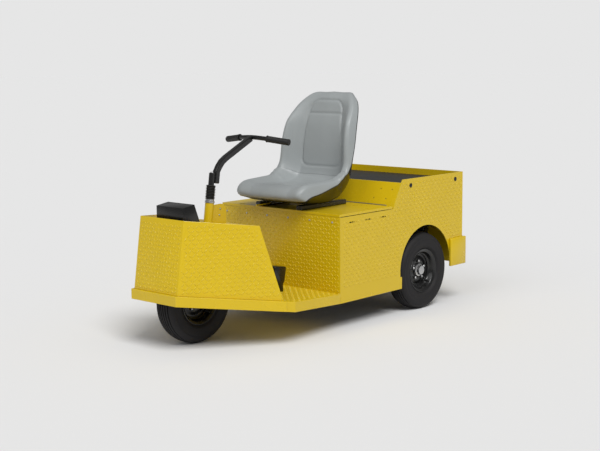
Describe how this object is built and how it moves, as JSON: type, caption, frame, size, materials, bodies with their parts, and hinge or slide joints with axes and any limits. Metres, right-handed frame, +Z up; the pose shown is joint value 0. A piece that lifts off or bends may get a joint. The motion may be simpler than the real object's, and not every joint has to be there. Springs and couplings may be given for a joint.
{
  "type": "three-wheel electric tug",
  "caption": "Small tiller-steered tug with a step-through platform, bucket seat on a hinged battery-box lid and a shallow rear cargo tray.",
  "frame": {"origin": "centre of the ground footprint, on the ground", "axes": "+Z up, -Y forward, +X to the vehicle's left"},
  "size_m": [0.89, 1.996, 1.1501],
  "materials": {
    "yellow_plate": "semi-gloss powder coat",
    "black_metal": "satin",
    "steel": "zinc plated",
    "tyre": "matte",
    "rubber": "matte",
    "vinyl": "satin vinyl"
  },
  "bodies": {
    "chassis": {"accelerator_pedal": "black_metal", "battery_pack": "black_metal", "battery_tray": "black_metal", "box_front_wall": "yellow_plate", "brake_pedal": "black_metal", "cargo_floor": "yellow_plate", "cargo_front_wall": "yellow_plate", "cargo_mat": "rubber", "column_gusset": "yellow_plate", "cowl_plate": "yellow_plate", "deck_hinge": "steel", "drive_motor": "black_metal", "floor_pan": "yellow_plate", "frame_rail_left": "black_metal", "frame_rail_right": "black_metal", "front_apron": "yellow_plate", "front_box": "black_metal", "head_collar": "steel", "head_tube": "yellow_plate", "leaf_spring_left": "black_metal", "leaf_spring_right": "black_metal", "left_side_panel": "yellow_plate", "nose_bumper": "yellow_plate", "rear_axle": "black_metal", "rear_bumper": "yellow_plate", "rear_shock_left": "black_metal", "rear_shock_right": "black_metal", "rear_wall": "yellow_plate", "right_side_panel": "yellow_plate", "spring_clamp_left": "black_metal", "spring_clamp_right": "black_metal", "tow_hitch": "black_metal", "tow_pin": "steel", "wheel_housing": "yellow_plate"},
    "steering": {"steer_stem": "black_metal", "front_fork": "black_metal", "front_axle": "steel", "stem_bellows": "rubber", "tiller_post": "black_metal", "handlebar": "black_metal", "left_grip": "rubber", "right_grip": "rubber"},
    "front_wheel": {"front_tyre": "tyre", "front_rim": "black_metal", "front_hub": "steel"},
    "rear_left_wheel": {"rear_left_tyre": "tyre", "rear_left_rim": "black_metal", "rear_left_hub": "steel"},
    "rear_right_wheel": {"rear_right_tyre": "tyre", "rear_right_rim": "black_metal", "rear_right_hub": "steel"},
    "seat_deck": {"seat_deck": "yellow_plate", "seat_slide_left": "black_metal", "seat_slide_right": "black_metal", "seat_shell": "black_metal", "seat_pad": "vinyl", "seat_back": "vinyl", "seat_lever": "yellow_plate"}
  },
  "joints": [
    {"name": "front_steer", "type": "hinge", "parent": "chassis", "child": "steering", "pos_m": [0, -0.6416, 0.5691], "axis": [0, 0.1426, 0.9898], "range_deg": [-55, 55]},
    {"name": "front_wheel_spin", "type": "hinge", "parent": "steering", "child": "front_wheel", "pos_m": [0, -0.7433, 0.205], "axis": [1, 0, 0], "continuous": true},
    {"name": "rear_left_spin", "type": "hinge", "parent": "chassis", "child": "rear_left_wheel", "pos_m": [0.342, 0.566, 0.205], "axis": [1, 0, 0], "continuous": true},
    {"name": "rear_right_spin", "type": "hinge", "parent": "chassis", "child": "rear_right_wheel", "pos_m": [-0.342, 0.566, 0.205], "axis": [1, 0, 0], "continuous": true},
    {"name": "seat_deck_hinge", "type": "hinge", "parent": "chassis", "child": "seat_deck", "pos_m": [0, 0.2793, 0.578], "axis": [-1, 0, 0], "range_deg": [0, 60]}
  ]
}
